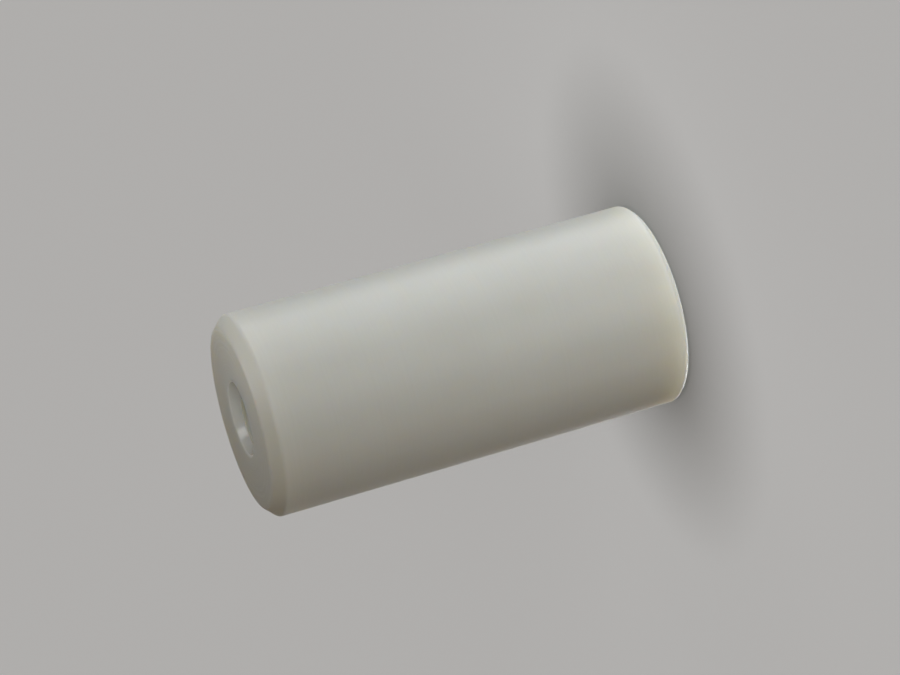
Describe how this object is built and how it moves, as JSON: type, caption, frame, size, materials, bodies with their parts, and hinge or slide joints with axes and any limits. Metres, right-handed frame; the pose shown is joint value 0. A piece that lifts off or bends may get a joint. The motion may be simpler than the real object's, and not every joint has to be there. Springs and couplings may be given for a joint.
{
  "type": "support peg",
  "caption": "Plain round support peg of milky white plastic, chamfered at its ends, with a countersunk threaded blind hole in the head for a screw.",
  "frame": {"origin": "centre of the plain foot face, which the peg stands on", "axes": "+Z along the peg's axis, from the plain foot up to the tapped head; +X and +Y are free, because the peg is round"},
  "size_m": [0.016, 0.016, 0.034],
  "materials": {
    "nylon": "milky white nylon, satin, with faint turning marks"
  },
  "bodies": {
    "root": {"support_peg": "nylon"}
  },
  "joints": []
}
